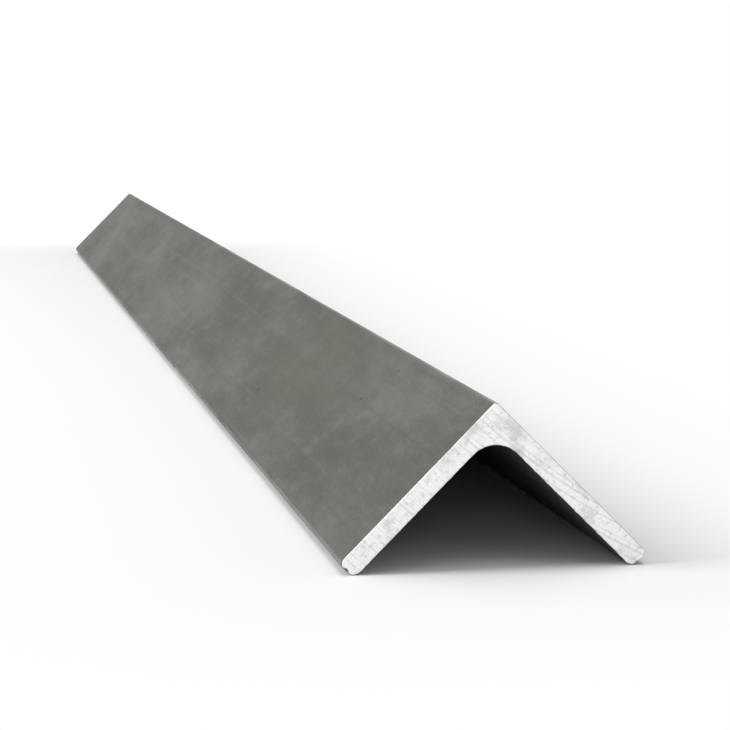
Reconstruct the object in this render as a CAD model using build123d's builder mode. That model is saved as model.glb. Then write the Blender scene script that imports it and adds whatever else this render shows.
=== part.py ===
from build123d import *
import os
from math import sqrt

# Hot-rolled steel equal angle section: a straight length of stock, lying on its two toes.
#
# The section is one rolled piece. Its two legs have the same width and thickness and meet square at
# the heel. The rolls leave a large radius in the root between the legs, a blunt rounding on both edges
# of each toe, and a nearly sharp heel. Both ends are sawn square across the length, and their rims are
# lightly broken.
#
# Frame: +Z up, Y along the length, X across. The origin is on the floor, below the heel and midway
# along the length. All lengths are in millimetres.

# Section
leg_width = 50.0  # outer face of each leg, from the heel to the end of the toe
leg_thickness = 5.0
root_radius = 7.0  # between the inner faces
toe_inner_radius = 2.2
toe_outer_radius = 1.8
heel_radius = 1.0  # between the outer faces

# Length
stock_length = 1000.0
end_rim_chamfer = 0.3

# The two roundings of a toe meet on its end, so each takes a little under half of the leg's thickness
# at most.
toe_fillet_limit = 0.48 * leg_thickness
toe_inner_fillet = min(toe_inner_radius, toe_fillet_limit)
toe_outer_fillet = min(toe_outer_radius, toe_fillet_limit)

# The legs fall away from the heel at 45 degrees. Each toe touches the floor along its inner rounding,
# which lies this much nearer to the heel than the sharp corner that it rounds.
toe_setback = (sqrt(2) - 1) * toe_inner_fillet
heel_height = (leg_width + leg_thickness) / sqrt(2) - toe_setback

# The section is drawn with the sharp heel at (0, 0) and a leg along each axis. On this plane the first
# axis points down to the right and the second one down to the left.
near_end_plane = Plane(
    origin=(0, -stock_length / 2, heel_height),
    x_dir=(1, 0, -1),
    z_dir=(0, 1, 0),
)

# Each corner of the sharp section, and the radius that rounds it
corner_radii = [
    ((0, 0), heel_radius),
    ((leg_thickness, leg_thickness), root_radius),
    ((leg_width, leg_thickness), toe_inner_fillet),
    ((leg_thickness, leg_width), toe_inner_fillet),
    ((leg_width, 0), toe_outer_fillet),
    ((0, leg_width), toe_outer_fillet),
]

with BuildPart() as angle_section:
    with BuildSketch(near_end_plane) as rolled_section:
        Rectangle(leg_width, leg_thickness, align=(Align.MIN, Align.MIN))
        Rectangle(leg_thickness, leg_width, align=(Align.MIN, Align.MIN))
        for corner, radius in corner_radii:
            fillet(rolled_section.vertices().sort_by_distance(corner)[0], radius)
    extrude(amount=stock_length)
    end_faces = angle_section.faces().filter_by(Axis.Y)
    chamfer(end_faces.edges(), end_rim_chamfer)

angle_section.part.label = "angle_section"
os.makedirs("parts", exist_ok=True)
export_step(angle_section.part, "parts/angle_section.step")
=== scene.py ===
from collections import namedtuple
from math import pi, sqrt

import bpy
import numpy as np
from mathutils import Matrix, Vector


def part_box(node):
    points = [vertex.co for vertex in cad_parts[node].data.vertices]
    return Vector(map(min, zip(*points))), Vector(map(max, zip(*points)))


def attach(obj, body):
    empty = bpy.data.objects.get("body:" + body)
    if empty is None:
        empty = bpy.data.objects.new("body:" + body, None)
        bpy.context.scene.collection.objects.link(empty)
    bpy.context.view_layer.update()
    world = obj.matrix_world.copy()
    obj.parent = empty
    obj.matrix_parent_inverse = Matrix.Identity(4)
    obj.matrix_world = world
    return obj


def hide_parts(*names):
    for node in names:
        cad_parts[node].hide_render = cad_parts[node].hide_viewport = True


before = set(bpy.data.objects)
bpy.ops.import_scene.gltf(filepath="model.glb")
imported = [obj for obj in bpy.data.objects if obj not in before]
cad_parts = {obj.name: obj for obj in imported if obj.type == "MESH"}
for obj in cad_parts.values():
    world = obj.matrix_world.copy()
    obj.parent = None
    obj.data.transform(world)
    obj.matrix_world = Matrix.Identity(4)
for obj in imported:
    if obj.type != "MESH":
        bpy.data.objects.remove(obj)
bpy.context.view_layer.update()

bl_info = {
    "name": "Steel Angle Section",
    "version": (1, 0, 0),
    "blender": (4, 5, 0),
    "location": "3D View > Sidebar > Steel Angle",
    "description": "A length of hot-rolled steel angle with sawn ends, its finishes and a plain studio",
    "category": "Object",
}

MM = 0.001
NODE = "angle_section"
NODE_LOW, NODE_HIGH = (np.array(corner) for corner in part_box(NODE))
NEAR_HEEL = np.array([0, NODE_LOW[1], NODE_HIGH[2]])  # the heel's end that the camera is near to


# Settings


def linear(hex_colour):
    """An sRGB hex colour as linear red, green and blue."""
    srgb = np.array([int(hex_colour[i:i + 2], 16) for i in (1, 3, 5)]) / 255
    curve = np.where(srgb <= 0.04045, srgb / 12.92, ((srgb + 0.055) / 1.055) ** 2.4)
    return tuple(float(part) for part in curve)


def length(name, description, default):
    """A length in metres that a user may change."""
    return bpy.props.FloatProperty(
        name=name, description=description, default=default, min=0, unit="LENGTH", precision=5
    )


def colour(name, description, default):
    """A colour that a user may change. Its default is an sRGB hex colour."""
    return bpy.props.FloatVectorProperty(
        name=name, description=description, default=linear(default), subtype="COLOR", min=0, max=1
    )


class AngleSizes(bpy.types.PropertyGroup):
    """The section's sizes, the bar's length and the sizes of the marks on it"""

    leg_width: length("Leg width", "Outer face of a leg, from the heel to the end of the toe", 50 * MM)
    leg_thickness: length("Leg thickness", "Thickness of both legs", 5 * MM)
    root_radius: length("Root radius", "Rounding between the inner faces", 7 * MM)
    toe_inner_radius: length("Toe inner radius", "Rounding of a toe's inner edge", 2.2 * MM)
    toe_outer_radius: length("Toe outer radius", "Rounding of a toe's outer edge", 1.8 * MM)
    heel_radius: length("Heel radius", "Rounding between the outer faces", 1 * MM)
    bar_length: length("Length", "Length of the stock", float(NODE_HIGH[1] - NODE_LOW[1]))
    rim_radius: length("Rim radius", "Rounding of the rims of the sawn ends", 0.3 * MM)
    skin_depth: length("Skin depth", "How far the rolled skin lies inside its nominal place", 0.06 * MM)
    mark_depth: length("Roll mark depth", "Depth of the lines that the rolls leave", 0.035 * MM)
    nick_depth: length("Nick depth", "Depth of the deepest handling nick", 0.45 * MM)
    burr_height: length("Burr height", "Height of the burr that the saw leaves", 0.1 * MM)
    mark_count: bpy.props.IntProperty(
        name="Roll marks", description="Lines that the rolls leave along the bar", default=18, min=0
    )
    nick_count: bpy.props.IntProperty(
        name="Nicks", description="Handling nicks on the heel and the toes", default=20, min=0
    )


class AngleColours(bpy.types.PropertyGroup):
    """The colours of the rolled skin and of the sawn ends"""

    skin: colour("Skin", "Rolled and pickled steel skin", "#62625d")
    skin_pale: colour("Pale skin", "Paler patches of the skin", "#787873")
    skin_dark: colour("Dark skin", "Darker patches of the skin", "#51514b")
    skin_olive: colour("Olive tint", "Greenish tint of the oiled skin", "#5b5e51")
    skin_brown: colour("Brown tint", "Faint brown bloom on the skin", "#665f57")
    # This edge colour is steel bared by wear, and along the toes' rounded edges also a painted highlight.
    worn: colour("Worn edge", "Steel that shows through the skin where the edges are rubbed", "#b9b7b3")
    speck: colour("Speck", "Dark specks of rolled-in scale", "#33322e")
    sawn: colour("Sawn steel", "Bright steel of the sawn ends", "#eeeeed")
    sawn_dull: colour("Dull sawn steel", "Duller marks on the sawn ends", "#aeaeab")


class StudioSettings(bpy.types.PropertyGroup):
    """The floor, the camera's lens and the lights"""

    floor: colour("Floor", "The pale studio floor, as it lights the bar", "#f8f8f7")
    lens: bpy.props.FloatProperty(name="Lens", description="Focal length", default=116, unit="CAMERA")
    key_power: bpy.props.FloatProperty(
        name="Key light", description="Power of the light above on the left", default=30, unit="POWER"
    )
    top_power: bpy.props.FloatProperty(
        name="Top light", description="Power of the long light above the bar", default=12, unit="POWER"
    )
    fill_power: bpy.props.FloatProperty(
        name="Fill light", description="Power of the light in front", default=5, unit="POWER"
    )


# The bar's mesh

SEED = 50
SKIN, RIM, SAWN = 0, 1, 2  # finishes of a face

# Steps of the mesh
TOE_STEPS, FACE_STEPS, SHOULDER_STEPS, HEEL_STEPS = 6, 64, 10, 5  # along half of the section
ACROSS_STEPS = 8  # across the metal
RIM_STEPS = 4
BRIGHT_RIM_STEPS = 2  # the steps next to the sawn face, which the saw has bared; the outer steps keep the darker skin as a painted dark outline round the sawn end
STATION_COUNT = 250  # places along the bar
FINE_COUNT = 20001  # places along the bar at which the stations' density is worked out
CROWDING = 9  # how much the stations' density grows at a nick or an end
NICK_CROWD_REACH = 2.2  # how far it grows about a nick, for each unit of the nick's size
END_CROWD_REACH = 8 * MM

# Noise
OCTAVES, OCTAVE_FALL = 3, 0.6
SINES = 3  # in each octave
STRETCHES = 0.75, 1.35  # least and most, of a sine's wavelength over its octave's

# The skin
DRIFT_LENGTH = 180 * MM  # of the long waves
DRIFT_TWIST = 1.7  # how far they shift along the bar, for each unit round the section
DRIFT_RATIO = 3  # the skin's depth over the waves' height
ROLL_MARK_WIDTHS = 0.9, 2.4  # least and most, in mm
RIDGE, GROOVE = -0.6, 1.0  # what a roll mark does to the skin's depth, in units of the marks' depth
ROLL_MARK_FADE_LENGTH = 400 * MM
ROLL_MARK_STRENGTH, ROLL_MARK_FADE = 0.55, 0.45
NICK_STRAY = 0.5 * MM  # how far the nicks spread from the middle of a rounding
NICK_SIZES = 0.7, 2.0  # least and most, in mm
NICK_SHARES = 0.25, 1  # least and most, of the deepest nick's depth
NICK_LENGTHENING = 1.6  # a nick's length along the bar over its width round the section
# The chips in the toes at the near end: the left or right toe, how far round the section past the middle
# of the toe's end, the size and the depth, in mm
CHIPS = (0, 0, 0.7, 0.3), (1, 1, 0.9, 0.4)

# The burr
BURR_WAVELENGTH = 3 * MM
BURR_GAIN, BURR_LIMIT = 1.3, 0.2
BURR_OVERHANG = 0.4  # how far it stands past the sawn face, for each unit of its height

# The section's outline: the places of its points, their outward normals and how far round they lie, the
# whole way round, the number of points along the outside, the places round it of the edges, which show
# wear and a painted highlight, and of the middles of the toes' ends, and the slice of points between the
# toes on the inside
Outline = namedtuple("Outline", "points normals around whole outside_count edges toe_ends inside")


def arc(centre, radius, start, end, steps):
    """Points on an arc, and their directions from its centre: the centre plus the radius times the
    cosine and sine of an angle that goes evenly from start to end."""
    angle = np.linspace(start, end, steps + 1)
    direction = np.stack([np.cos(angle), np.sin(angle)], 1)
    return np.array(centre) + radius * direction, direction


def half_section(sizes):
    """One leg, from its toe to the line that halves the corner: the outer points, their outward
    normals, the inner points and theirs, as pairs across the metal.

    The first axis runs along the leg from the sharp heel, and the second one across it. The outside is
    an arc at the toe, a straight face and half of the heel's arc, and the inside is an arc at the toe, a
    straight face and half of the root's arc.
    """
    leg, thick = sizes.leg_width, sizes.leg_thickness
    outer_r, inner_r, heel_r = sizes.toe_outer_radius, sizes.toe_inner_radius, sizes.heel_radius
    bend = thick + sizes.root_radius
    toe_out, toe_out_n = arc((leg - outer_r, outer_r), outer_r, 0, -pi / 2, TOE_STEPS)
    toe_in, toe_in_n = arc((leg - inner_r, thick - inner_r), inner_r, 0, pi / 2, TOE_STEPS)
    face_out = np.linspace((leg - outer_r, 0), (bend, 0), FACE_STEPS + 1)
    face_in = np.linspace((leg - inner_r, thick), (bend, thick), FACE_STEPS + 1)
    shoulder = np.linspace((bend, 0), (heel_r, 0), SHOULDER_STEPS + 1)
    heel, heel_n = arc((heel_r, heel_r), heel_r, -pi / 2, -3 * pi / 4, HEEL_STEPS)
    root, root_n = arc((bend, bend), sizes.root_radius, -pi / 2, -3 * pi / 4, SHOULDER_STEPS + HEEL_STEPS)
    down, up = np.array([[0.0, -1.0]]), np.array([[0.0, 1.0]])
    outer = np.concatenate([toe_out, face_out[1:], shoulder[1:], heel[1:]])
    outer_n = np.concatenate([toe_out_n, np.repeat(down, FACE_STEPS + SHOULDER_STEPS, 0), heel_n[1:]])
    inner = np.concatenate([toe_in, face_in[1:], root[1:]])
    inner_n = np.concatenate([toe_in_n, np.repeat(up, FACE_STEPS, 0), -root_n[1:]])
    return outer, outer_n, inner, inner_n


def both_legs(leg):
    """Values along one leg, mirrored in the line that halves the corner: the left leg from toe to
    corner, with its two axes swapped, and then the right leg from corner to toe."""
    return np.concatenate([leg[:, ::-1], leg[-2::-1]])


def close_loop(outer, inner):
    """The section's outline as one loop: along the outside from left to right, across the right toe,
    back along the inside, and across the left toe. Steps across a toe are even."""
    share = np.linspace(0, 1, ACROSS_STEPS + 1)[1:-1, None]
    right = outer[-1] + share * (inner[-1] - outer[-1])
    left = inner[0] + share * (outer[0] - inner[0])
    return np.concatenate([outer, right, inner[::-1], left])


def section_outline(sizes):
    """The section's outline. The distance round it is the sum of the steps before a point, and the
    edges that show wear and a painted highlight are the middles of the roundings of the toes and the
    heel."""
    outer, outer_n, inner, inner_n = (both_legs(side) for side in half_section(sizes))
    points, normals = close_loop(outer, inner), close_loop(outer_n, inner_n)
    normals /= np.linalg.norm(normals, axis=1, keepdims=True)
    steps = np.linalg.norm(np.roll(points, -1, 0) - points, axis=1)
    around = np.cumsum(steps) - steps
    outside_count, toe_middle = len(outer), TOE_STEPS // 2
    under_right = outside_count + ACROSS_STEPS - 1 + toe_middle
    under_left = len(points) - ACROSS_STEPS - toe_middle
    edges = [toe_middle, outside_count // 2, outside_count - 1 - toe_middle, under_right, under_left]
    toe_ends = [-ACROSS_STEPS // 2, outside_count - 1 + ACROSS_STEPS // 2]
    inside = slice(under_right + toe_middle, under_left - toe_middle)
    return Outline(
        points, normals, around, steps.sum(), outside_count, around[edges], around[toe_ends], inside
    )


def round_distance(outline, place):
    """The shorter way round the outline from a place to each point."""
    gap = np.abs(outline.around - place % outline.whole)
    return np.minimum(gap, outline.whole - gap)


def bell(distance, reach):
    """A Gaussian: one at no distance, and e to the minus one at its reach."""
    return np.exp(-((distance / reach) ** 2))


def waves(rng, at, wavelength):
    """Seeded noise, about -1 to 1: sines of random phase and stretch, whose wavelengths halve and whose
    heights fall to 0.6 from one octave to the next."""
    total = np.zeros_like(at)
    for octave in range(OCTAVES):
        for stretch, phase in zip(rng.uniform(*STRETCHES, SINES), rng.uniform(0, 2 * pi, SINES)):
            angle = 2 * pi * at * 2**octave / (wavelength * stretch) + phase
            total = total + OCTAVE_FALL**octave / SINES * np.sin(angle)
    return total


def choose_nicks(sizes, rng, outline, half):
    """Handling nicks as rows of place round the section, place along the bar, size and depth. They are
    on the heel and the toes, and the last ones are the chips in the toes at the near end."""
    count = sizes.nick_count
    nicks = np.stack([
        rng.choice(outline.edges, count) + rng.normal(0, NICK_STRAY, count),
        rng.uniform(-half, half, count),
        rng.uniform(*NICK_SIZES, count) * MM,
        rng.uniform(*NICK_SHARES, count) * sizes.nick_depth,
    ], 1)
    chips = np.array([
        [outline.toe_ends[toe] + past * MM, -half, size * MM, depth * MM]
        for toe, past, size, depth in CHIPS
    ])
    return np.concatenate([nicks, chips])


def stations(half, nicks):
    """Places along the bar, crowded at the nicks and near the ends.

    Each place gets a density: one, plus the crowding times a bell at each nick and each end. The stations
    split the density's integral into equal shares.
    """
    centres = np.append(nicks[:, 1], [-half, half])[:, None]
    reaches = np.append(NICK_CROWD_REACH * nicks[:, 2], [END_CROWD_REACH, END_CROWD_REACH])[:, None]
    fine = np.linspace(-half, half, FINE_COUNT)
    density = 1 + CROWDING * bell(fine - centres, reaches).sum(0)
    share = np.concatenate([[0], np.cumsum((density[1:] + density[:-1]) / 2)])
    return np.interp(np.linspace(0, share[-1], STATION_COUNT), share, fine)


def skin_relief(sizes, rng, outline, y, nicks):
    """How far the skin lies inside its nominal place, at each station and each point round the section.

    It is the skin's depth, less long waves of a third of it that twist round the bar, plus the roll
    marks, which are bell-shaped grooves and ridges along the bar that come and go, plus the nicks, which
    are bell-shaped dents.
    """
    drift = waves(rng, y[:, None] + DRIFT_TWIST * outline.around[None, :], DRIFT_LENGTH)
    relief = sizes.skin_depth * (1 - drift.clip(-1, 1) / DRIFT_RATIO)
    for place, width, side in zip(
        rng.uniform(0, outline.whole, sizes.mark_count),
        rng.uniform(*ROLL_MARK_WIDTHS, sizes.mark_count) * MM,
        rng.choice([RIDGE, GROOVE], sizes.mark_count),
    ):
        fade = waves(rng, y, ROLL_MARK_FADE_LENGTH)
        strength = (ROLL_MARK_STRENGTH + ROLL_MARK_FADE * fade).clip(0, 1)
        groove = np.outer(strength, bell(round_distance(outline, place), width))
        relief = relief + side * sizes.mark_depth * groove
    for place, along, size, depth in nicks:
        lengthwise = bell(y - along, NICK_LENGTHENING * size)
        dent = np.outer(lengthwise, bell(round_distance(outline, place), size))
        relief = relief + depth * dent
    return relief


def rim_rows(sizes, rng, outline):
    """The rows of a rim, from the skin to the sawn face: how far each point lies inside the skin, and
    how far along the bar.

    The rim is a quarter circle, one less the cosine inwards and the sine along. The burr is a thin
    ragged lip here and there on its inner side, where noise is above a limit, and it stands out of the
    skin and past the face as the squared sine of twice the angle.
    """
    ragged = np.zeros_like(outline.around)
    noise = waves(rng, outline.around[outline.inside], BURR_WAVELENGTH)
    ragged[outline.inside] = BURR_GAIN * noise - BURR_LIMIT
    turn = np.linspace(0, pi / 2, RIM_STEPS + 1)[1:, None]
    lip = sizes.burr_height * ragged.clip(0, 1) * np.sin(2 * turn) ** 2
    inwards = sizes.rim_radius * (1 - np.cos(turn)) - lip
    along = sizes.rim_radius * np.sin(turn) + BURR_OVERHANG * lip
    return inwards, along


def skin_rows(sizes, outline):
    """The skin and its rims as rows of points, each row once round the section.

    The outline is carried along Y. Each of its points moves inwards along its normal by the relief, and
    the rims' rows follow at both ends. Then X is the difference of the two section coordinates over root
    two, and Z is the heel's height less their sum over root two.
    """
    rng = np.random.default_rng(SEED)
    half = sizes.bar_length / 2 - sizes.rim_radius - BURR_OVERHANG * sizes.burr_height
    nicks = choose_nicks(sizes, rng, outline, half)
    y = stations(half, nicks)
    relief = skin_relief(sizes, rng, outline, y, nicks)
    (near_in, near_along), (far_in, far_along) = (rim_rows(sizes, rng, outline) for _ in range(2))
    inset = np.concatenate([(relief[0] + near_in)[::-1], relief, relief[-1] + far_in])
    level = np.repeat(y[:, None], len(outline.points), 1)
    along = np.concatenate([(-half - near_along)[::-1], level, half + far_along])

    # The bar stands on the inner roundings of its toes, which lie nearer to the heel than the sharp
    # corners that they round.
    toe_setback = (sqrt(2) - 1) * sizes.toe_inner_radius
    heel_height = (sizes.leg_width + sizes.leg_thickness) / sqrt(2) - toe_setback
    place = outline.points - inset[..., None] * outline.normals
    x = (place[..., 0] - place[..., 1]) / sqrt(2)
    z = heel_height - (place[..., 0] + place[..., 1]) / sqrt(2)
    return np.stack([x, along, z], -1)


def quads(grid):
    """The faces between neighbours of a grid of vertex numbers."""
    corners = grid[:-1, :-1], grid[1:, :-1], grid[1:, 1:], grid[:-1, 1:]
    return np.stack([corner.ravel() for corner in corners], 1)


def end_grid(loop_start, own_start, outside_count):
    """Vertex numbers of a sawn end, along the section by across it. Its border is the last loop of the
    rim, and the vertices within it are its own."""
    loop = loop_start + np.arange(2 * (outside_count - 1) + 2 * ACROSS_STEPS)
    turn_right = outside_count + ACROSS_STEPS - 1
    turn_left = turn_right + outside_count
    grid = np.empty((outside_count, ACROSS_STEPS + 1), int)
    grid[:, 0] = loop[:outside_count]
    grid[-1, 1:-1] = loop[outside_count:turn_right]
    grid[:, -1] = loop[turn_right:turn_left][::-1]
    grid[0, 1:-1] = loop[turn_left:][::-1]
    own = own_start + np.arange((outside_count - 2) * (ACROSS_STEPS - 1))
    grid[1:-1, 1:-1] = own.reshape(outside_count - 2, ACROSS_STEPS - 1)
    return grid


def bar_surface(sizes):
    """The whole bar as one closed surface: its vertices, its faces, each face's finish, and each
    vertex's distance from an edge that shows wear and a painted highlight.

    Neighbouring rows of the skin are joined by faces all the way round. Each sawn end is a grid, whose
    points lie evenly on straight lines from the outside of the section to the inside.
    """
    outline = section_outline(sizes)
    rows = skin_rows(sizes, outline)
    row_count, loop_count = rows.shape[:2]
    border = rows.reshape(-1, 3)
    numbers = np.arange(len(border)).reshape(row_count, loop_count)
    strip = np.tile(np.arange(row_count - 1), loop_count)  # the strip of rows that each face lies in
    # The rim's outer steps keep the skin, which draws a painted dark outline round each sawn end.
    bright = (strip < BRIGHT_RIM_STEPS) | (strip >= row_count - 1 - BRIGHT_RIM_STEPS)
    vertices = [border]
    faces = [quads(np.concatenate([numbers, numbers[:, :1]], 1).T)]
    finish = [np.where(bright, RIM, SKIN)]

    share = np.linspace(0, 1, ACROSS_STEPS + 1)[None, 1:-1, None]
    for row, order in ((0, -1), (row_count - 1, 1)):
        grid = end_grid(row * loop_count, sum(map(len, vertices)), outline.outside_count)
        start, end = border[grid[1:-1, 0]][:, None], border[grid[1:-1, -1]][:, None]
        vertices.append((start + share * (end - start)).reshape(-1, 3))
        faces.append(quads(grid)[:, ::order])
        finish.append(np.full(len(faces[-1]), SAWN))

    edge_distance = np.min([round_distance(outline, edge) for edge in outline.edges], axis=0)
    distance = np.zeros(sum(map(len, vertices)))
    distance[:len(border)] = np.tile(edge_distance, row_count)
    return np.concatenate(vertices), np.concatenate(faces), np.concatenate(finish), distance


def build_mesh(name, vertices, faces, smooth=True):
    """A mesh from arrays of vertices and of faces with four corners. Smooth is one value for all faces,
    or one for each."""
    mesh = bpy.data.meshes.new(name)
    mesh.vertices.add(len(vertices))
    mesh.vertices.foreach_set("co", vertices.astype(np.float32).ravel())
    mesh.loops.add(faces.size)
    mesh.loops.foreach_set("vertex_index", faces.astype(np.int32).ravel())
    mesh.polygons.add(len(faces))
    mesh.polygons.foreach_set("loop_start", np.arange(0, faces.size, 4, dtype=np.int32))
    mesh.polygons.foreach_set("use_smooth", np.broadcast_to(smooth, len(faces)))
    mesh.update(calc_edges=True)
    if mesh.validate():
        raise RuntimeError(f"{name} has faces that Blender had to mend")
    return mesh


# Materials

FACTOR, UNDER, OVER, MIXED = 0, 6, 7, 2  # the Mix node's sockets for colours: three inputs, one output
PATTERN_SHIFT = 3.7  # how far each pattern's noise lies from the last one's, in its own units
SPECK_CELL = 9, 13  # across the bar and along it, in mm
SAW_MARK_SPACING = 0.6 * MM
SAW_AXLE = (0.11, 0, 0.16)  # its place when it cut the bar
FLOOR_FADE = 120 * MM  # the floor turns plain white over this distance from the bar
SURROUNDINGS_LIGHT = 0.45  # their strength as a light, where 1 is what the eye sees


def add(tree, kind, inputs=None, out=0, **settings):
    """Adds a node with its settings, gives its inputs values or links, and returns one output."""
    node = tree.nodes.new(kind)
    for name, value in settings.items():
        setattr(node, name, value)
    for name, value in (inputs or {}).items():
        if isinstance(value, bpy.types.NodeSocket):
            tree.links.new(value, node.inputs[name])
        else:
            node.inputs[name].default_value = value
    return node.outputs[out] if node.outputs else None


def start_material(name):
    """A new material with an empty node tree, and the place on the piece."""
    material = bpy.data.materials.new(name)
    material.use_nodes = True
    material.node_tree.nodes.clear()
    place = add(material.node_tree, "ShaderNodeTexCoord", out="Object")
    return material, material.node_tree, place


def cell_scale(across, along):
    """The scale of a pattern, from its size across the bar and along it in mm."""
    return 1 / (across * MM), 1 / (along * MM), 1 / (across * MM)


def patterns(tree, place, wanted):
    """Noise for each row of its size across the bar and along it in mm, its octaves and roughness."""
    made = []
    for number, (across, along, octaves, roughness) in enumerate(wanted):
        shift = PATTERN_SHIFT * (number + 1)
        spot = add(tree, "ShaderNodeMapping", {
            "Vector": place, "Location": (shift, shift, shift), "Scale": cell_scale(across, along)})
        made.append(add(tree, "ShaderNodeTexNoise", {
            "Vector": spot, "Scale": 1.0, "Detail": octaves, "Roughness": roughness}))
    return made


def layer(tree, under, rows):
    """Colours laid over each other. Each row is a pattern, where it starts and where it is full, how
    much it then covers, and its colour."""
    for pattern, start, end, most, over in rows:
        share = add(tree, "ShaderNodeMapRange", {
            "Value": pattern, "From Min": start, "From Max": end, "To Max": most,
        }, interpolation_type="SMOOTHSTEP")
        under = add(tree, "ShaderNodeMix", {
            FACTOR: share, UNDER: under, OVER: (*over, 1)}, MIXED, data_type="RGBA")
    return under


def pickled_hot_rolled_steel(colours):
    """Hot-rolled structural steel, pickled and lightly oiled.

    The skin is matt and even in tone, with soft clouds and mottling, long faint streaks that the rolls
    drew out, a few specks of rolled-in scale, and paler lines along the heel and the toes, which are
    partly wear and partly a painted highlight on the toes' rounded edges.
    """
    material, tree, place = start_material("pickled hot-rolled steel")
    clouds, patches, tints, streaks, lines, grain, gaps, speck_spread = patterns(tree, place, (
        (26, 140, 4, 0.55),  # clouds and patches are where the acid bit more or less
        (6, 18, 5, 0.7),
        (50, 260, 2, 0.5),  # tints are where more or less oil lies
        (3.2, 420, 3, 0.6),  # streaks are rolled out many times longer than they are wide
        (0.9, 160, 2, 0.6),  # lines are roll scratches, really about 0.2 mm wide, drawn wider to show
        (0.5, 0.8, 2, 0.6),  # the grain is pits of about 0.1 mm, drawn wider to show
        (3, 34, 3, 0.6),  # gaps are where the skin is whole along the edges' wear and painted highlight
        (24, 24, 1, 0.5),  # specks come in groups
    ))

    # Specks are the middles of cells, up to about 2 mm across, and ragged from the grain.
    cells = add(tree, "ShaderNodeMapping", {"Vector": place, "Scale": cell_scale(*SPECK_CELL)})
    cell = add(tree, "ShaderNodeTexVoronoi", {"Vector": cells, "Scale": 1.0})
    size = add(tree, "ShaderNodeMapRange", {
        "Value": speck_spread, "From Min": 0.45, "From Max": 0.75, "To Max": 0.1})
    ragged = add(tree, "ShaderNodeMath", {0: grain, 1: 0.16, 2: -0.06}, operation="MULTIPLY_ADD")
    size = add(tree, "ShaderNodeMath", {0: size, 1: ragged})
    specks = add(tree, "ShaderNodeMath", {0: size, 1: cell}, operation="SUBTRACT")

    # The skin is abraded thin within about half a millimetre of each edge, and less where it is whole. On
    # the toes' rounded edges this pale line is also a painted highlight.
    edge = add(tree, "ShaderNodeAttribute", out="Fac", attribute_name="edge_distance")
    close = add(tree, "ShaderNodeMapRange", {
        "Value": edge, "From Min": 0.9 * MM, "From Max": 0.2 * MM}, interpolation_type="SMOOTHSTEP")
    worn = add(tree, "ShaderNodeMapRange", {
        "Value": gaps, "From Min": 0.3, "From Max": 0.7, "To Min": 0.3}, interpolation_type="SMOOTHSTEP")
    rubbed = add(tree, "ShaderNodeMath", {0: close, 1: worn}, operation="MULTIPLY")

    tone = layer(tree, (*colours.skin, 1), (
        (clouds, 0.42, 0.66, 0.4, colours.skin_pale),
        (clouds, 0.52, 0.32, 0.4, colours.skin_dark),
        (patches, 0.48, 0.7, 0.45, colours.skin_pale),
        (patches, 0.52, 0.3, 0.35, colours.skin_dark),
        (tints, 0.5, 0.7, 0.5, colours.skin_olive),
        (tints, 0.46, 0.28, 0.4, colours.skin_brown),
        (streaks, 0.54, 0.72, 0.3, colours.skin_dark),
        (streaks, 0.44, 0.28, 0.25, colours.skin_pale),
        (lines, 0.62, 0.74, 0.2, colours.skin_dark),
        (lines, 0.38, 0.28, 0.2, colours.skin_pale),
        (grain, 0.5, 0.68, 0.35, colours.skin_dark),
        (grain, 0.5, 0.34, 0.25, colours.skin_pale),
        (specks, -0.01, 0.03, 0.75, colours.speck),
        # pale edge line: wear, and on the toes' rounded edges a painted highlight
        (rubbed, 0, 1, 0.28, colours.worn),
    ))

    # It is a little smoother where the clouds are pale and along the edges' wear and painted highlight.
    dull = add(tree, "ShaderNodeMapRange", {
        "Value": clouds, "From Min": 0.35, "From Max": 0.65, "To Min": 0.72, "To Max": 0.62})
    rough = add(tree, "ShaderNodeMath", {0: rubbed, 1: -0.1, 2: dull}, operation="MULTIPLY_ADD")

    # Streaks, lines and the grain stand out in relief, and the specks are pits.
    drawn = add(tree, "ShaderNodeMath", {0: streaks, 1: lines})
    height = add(tree, "ShaderNodeMath", {0: grain, 1: 0.5, 2: drawn}, operation="MULTIPLY_ADD")
    pit = add(tree, "ShaderNodeMapRange", {
        "Value": specks, "From Min": -0.02, "From Max": 0.03, "To Max": 0.6})
    height = add(tree, "ShaderNodeMath", {0: height, 1: pit}, operation="SUBTRACT")
    bump = add(tree, "ShaderNodeBump", {"Height": height, "Strength": 0.5, "Distance": 0.03 * MM})
    shader = add(tree, "ShaderNodeBsdfPrincipled", {
        "Base Color": tone, "Metallic": 1.0, "Roughness": rough, "Normal": bump})
    add(tree, "ShaderNodeOutputMaterial", {"Surface": shader})
    return material


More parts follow.
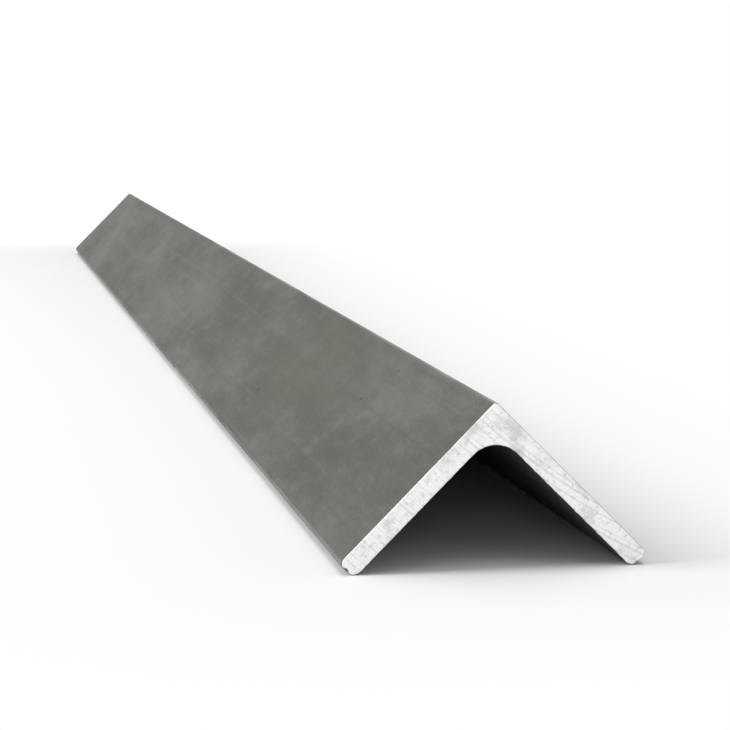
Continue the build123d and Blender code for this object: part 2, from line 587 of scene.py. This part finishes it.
def cold_sawn_steel(colours):
    """Structural steel cut by a cold saw.

    It is bare bright metal with a fine sparkle, crossed by shallow marks that the blade's teeth leave,
    and duller in flecks and smears.
    """
    material, tree, place = start_material("cold-sawn steel")
    smears, flecks, sparkle = patterns(tree, place, (
        (5, 5, 4, 0.6),  # smears are where it has been handled
        (1.1, 1.1, 3, 0.7),  # flecks are where chips were dragged over it
        (0.4, 0.4, 2, 0.7),  # the sparkle is torn grains of about 0.1 mm, drawn wider to show
    ))

    # The marks are arcs about the saw's axle, which stood up and to the right. Real ones are about
    # 0.1 mm apart, and these are about 0.6 mm apart so that they show.
    from_axle = add(tree, "ShaderNodeVectorMath", {0: place, 1: SAW_AXLE}, operation="SUBTRACT")
    flat = add(tree, "ShaderNodeVectorMath", {0: from_axle, 1: (1, 0, 1)}, operation="MULTIPLY")
    radius = add(tree, "ShaderNodeVectorMath", {0: flat}, "Value", operation="LENGTH")
    ring = add(tree, "ShaderNodeMath", {0: radius, 1: 1 / SAW_MARK_SPACING}, operation="MULTIPLY")
    marks = add(tree, "ShaderNodeTexNoise", {
        "W": ring, "Scale": 1.0, "Detail": 2.0, "Roughness": 0.7}, noise_dimensions="1D")

    tone = layer(tree, (*colours.sawn, 1), (
        (smears, 0.46, 0.7, 0.5, colours.sawn_dull),
        (flecks, 0.5, 0.72, 0.5, colours.sawn_dull),
        (sparkle, 0.52, 0.75, 0.4, colours.sawn_dull),
        (marks, 0.5, 0.7, 0.35, colours.sawn_dull),
    ))
    rough = add(tree, "ShaderNodeMapRange", {
        "Value": flecks, "From Min": 0.35, "From Max": 0.7, "To Min": 0.42, "To Max": 0.55})
    height = add(tree, "ShaderNodeMath", {0: marks, 1: sparkle})
    bump = add(tree, "ShaderNodeBump", {"Height": height, "Strength": 0.4, "Distance": 0.04 * MM})
    shader = add(tree, "ShaderNodeBsdfPrincipled", {
        "Base Color": tone, "Metallic": 1.0, "Roughness": rough, "Normal": bump})
    add(tree, "ShaderNodeOutputMaterial", {"Surface": shader})
    return material


def seen_directly(tree):
    """One for what the camera sees, straight or in a reflection or through glass, and zero for light."""
    seen = 0.0
    for ray in ("Is Camera Ray", "Is Glossy Ray", "Is Transmission Ray"):
        way = add(tree, "ShaderNodeLightPath", out=ray)
        seen = add(tree, "ShaderNodeMath", {0: seen, 1: way}, operation="MAXIMUM")
    return seen


def matt_studio_floor(settings):
    """A pale matt floor that keeps the shadow. It looks white, and plain white away from the bar, and
    still lights the bar as a pale floor does."""
    material, tree, place = start_material("matt studio floor")
    aside = add(tree, "ShaderNodeVectorMath", {0: place}, operation="ABSOLUTE")
    beyond = add(tree, "ShaderNodeVectorMath", {0: aside, 1: NODE_HIGH}, operation="SUBTRACT")
    outside = add(tree, "ShaderNodeVectorMath", {0: beyond, 1: (0, 0, 0)}, operation="MAXIMUM")
    distance = add(tree, "ShaderNodeVectorMath", {0: outside}, "Value", operation="LENGTH")
    away = add(tree, "ShaderNodeMapRange", {
        "Value": distance, "From Max": FLOOR_FADE}, interpolation_type="SMOOTHSTEP")
    seen = seen_directly(tree)
    faded = add(tree, "ShaderNodeMath", {0: away, 1: seen}, operation="MULTIPLY")
    shade = add(tree, "ShaderNodeMix", {
        FACTOR: seen, UNDER: (*settings.floor, 1), OVER: (1, 1, 1, 1)}, MIXED, data_type="RGBA")
    matt = add(tree, "ShaderNodeBsdfDiffuse", {"Color": shade})
    white = add(tree, "ShaderNodeEmission", {"Strength": 1.0})
    both = add(tree, "ShaderNodeMixShader", {0: faded, 1: matt, 2: white})
    add(tree, "ShaderNodeOutputMaterial", {"Surface": both})
    return material


def white_surroundings():
    """A world that is plain white to the camera and in reflections, and softer as a light."""
    world = bpy.data.worlds.new("white surroundings")
    world.use_nodes = True
    tree = world.node_tree
    tree.nodes.clear()
    strength = add(tree, "ShaderNodeMapRange", {
        "Value": seen_directly(tree), "To Min": SURROUNDINGS_LIGHT})
    background = add(tree, "ShaderNodeBackground", {"Color": (1, 1, 1, 1), "Strength": strength})
    add(tree, "ShaderNodeOutputWorld", {"Surface": background})
    return world


# Operators

FLOOR_REACH = 30  # from the floor's middle to each side
LIGHTS = (  # each light's name, the setting of its power, its width and length, its place and its target
    ("key_light", "key_power", (0.8, 0.8), (-2.0, -0.4, 1.4), (0, 0, 0)),
    ("top_light", "top_power", (0.8, 3.2), (0, 0, 2.0), (0, 0, 0)),
    ("fill_light", "fill_power", (0.8, 0.8), NEAR_HEEL + (-0.35, -2.4, 0.45), NEAR_HEEL),
)
CAMERA_PLACE = NEAR_HEEL + (-0.120, -0.500, 0.070)
CAMERA_TARGET = NEAR_HEEL + (0.016, 0.25, -0.0215)


def show(name, data):
    """Puts new data into the scene, at the origin."""
    thing = bpy.data.objects.new(name, data)
    bpy.context.scene.collection.objects.link(thing)
    return thing


def aim(thing, place, target):
    """Stands a light or camera at a place and turns it to a target."""
    thing.location = place
    thing.rotation_euler = (Vector(target) - Vector(place)).to_track_quat("-Z", "Y").to_euler()


class OBJECT_OT_steel_angle_bar(bpy.types.Operator):
    """Make the rolled bar with its sawn ends, in the place of the frame's section"""

    bl_idname = "object.steel_angle_bar"
    bl_label = "Rolled Bar"

    def execute(self, context):
        scene = context.scene
        vertices, faces, finish, distance = bar_surface(scene.steel_angle_sizes)
        low, high = vertices.min(0), vertices.max(0)
        if (low < NODE_LOW).any() or (high > NODE_HIGH).any():
            raise RuntimeError(f"the bar leaves its frame: {low} to {high}")
        mesh = build_mesh("rolled_bar", vertices, faces, smooth=finish != SAWN)
        mesh.materials.append(pickled_hot_rolled_steel(scene.steel_angle_colours))
        mesh.materials.append(cold_sawn_steel(scene.steel_angle_colours))
        mesh.polygons.foreach_set("material_index", (finish != SKIN).astype(np.int32))
        attribute = mesh.attributes.new("edge_distance", "FLOAT", "POINT")
        attribute.data.foreach_set("value", distance.astype(np.float32))
        bar = show("rolled_bar", mesh)
        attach(bar, "root")
        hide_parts(NODE)
        return {"FINISHED"}


class OBJECT_OT_steel_angle_studio(bpy.types.Operator):
    """Make the floor, the lights, the white surroundings and the camera"""

    bl_idname = "object.steel_angle_studio"
    bl_label = "Studio"

    def execute(self, context):
        scene, settings = context.scene, context.scene.steel_angle_studio
        corners = FLOOR_REACH * np.array([[-1, -1, 0], [1, -1, 0], [1, 1, 0], [-1, 1, 0]])
        mesh = build_mesh("studio_floor", corners, np.arange(4)[None])
        mesh.materials.append(matt_studio_floor(settings))
        show("studio_floor", mesh)
        for name, power, size, place, target in LIGHTS:
            light = bpy.data.lights.new(name, "AREA")
            light.shape = "RECTANGLE"
            light.size, light.size_y = size
            light.energy = getattr(settings, power)
            aim(show(name, light), place, target)
        scene.world = white_surroundings()
        camera = bpy.data.cameras.new("camera")
        camera.lens = settings.lens
        scene.camera = show("camera", camera)
        aim(scene.camera, CAMERA_PLACE, CAMERA_TARGET)
        scene.view_settings.view_transform = "Standard"
        return {"FINISHED"}


OPERATORS = (OBJECT_OT_steel_angle_studio, OBJECT_OT_steel_angle_bar)


class VIEW3D_PT_steel_angle(bpy.types.Panel):
    """The settings and the operators, in the 3D view's sidebar"""

    bl_label = "Steel Angle"
    bl_space_type = "VIEW_3D"
    bl_region_type = "UI"
    bl_category = "Steel Angle"

    def draw(self, context):
        scene = context.scene
        for group in (scene.steel_angle_sizes, scene.steel_angle_colours, scene.steel_angle_studio):
            box = self.layout.box()
            for name in group.__annotations__:
                box.prop(group, name)
        for operator in OPERATORS:
            self.layout.operator(operator.bl_idname)


GROUPS = {
    "steel_angle_sizes": AngleSizes,
    "steel_angle_colours": AngleColours,
    "steel_angle_studio": StudioSettings,
}
CLASSES = (*GROUPS.values(), *OPERATORS, VIEW3D_PT_steel_angle)


def register():
    for cls in CLASSES:
        bpy.utils.register_class(cls)
    for name, group in GROUPS.items():
        setattr(bpy.types.Scene, name, bpy.props.PointerProperty(type=group))


def unregister():
    for name in GROUPS:
        delattr(bpy.types.Scene, name)
    for cls in reversed(CLASSES):
        bpy.utils.unregister_class(cls)


def main():
    """Makes the studio and the bar."""
    register()
    bpy.ops.object.steel_angle_studio()
    bpy.ops.object.steel_angle_bar()


if __name__ == "__main__":
    main()
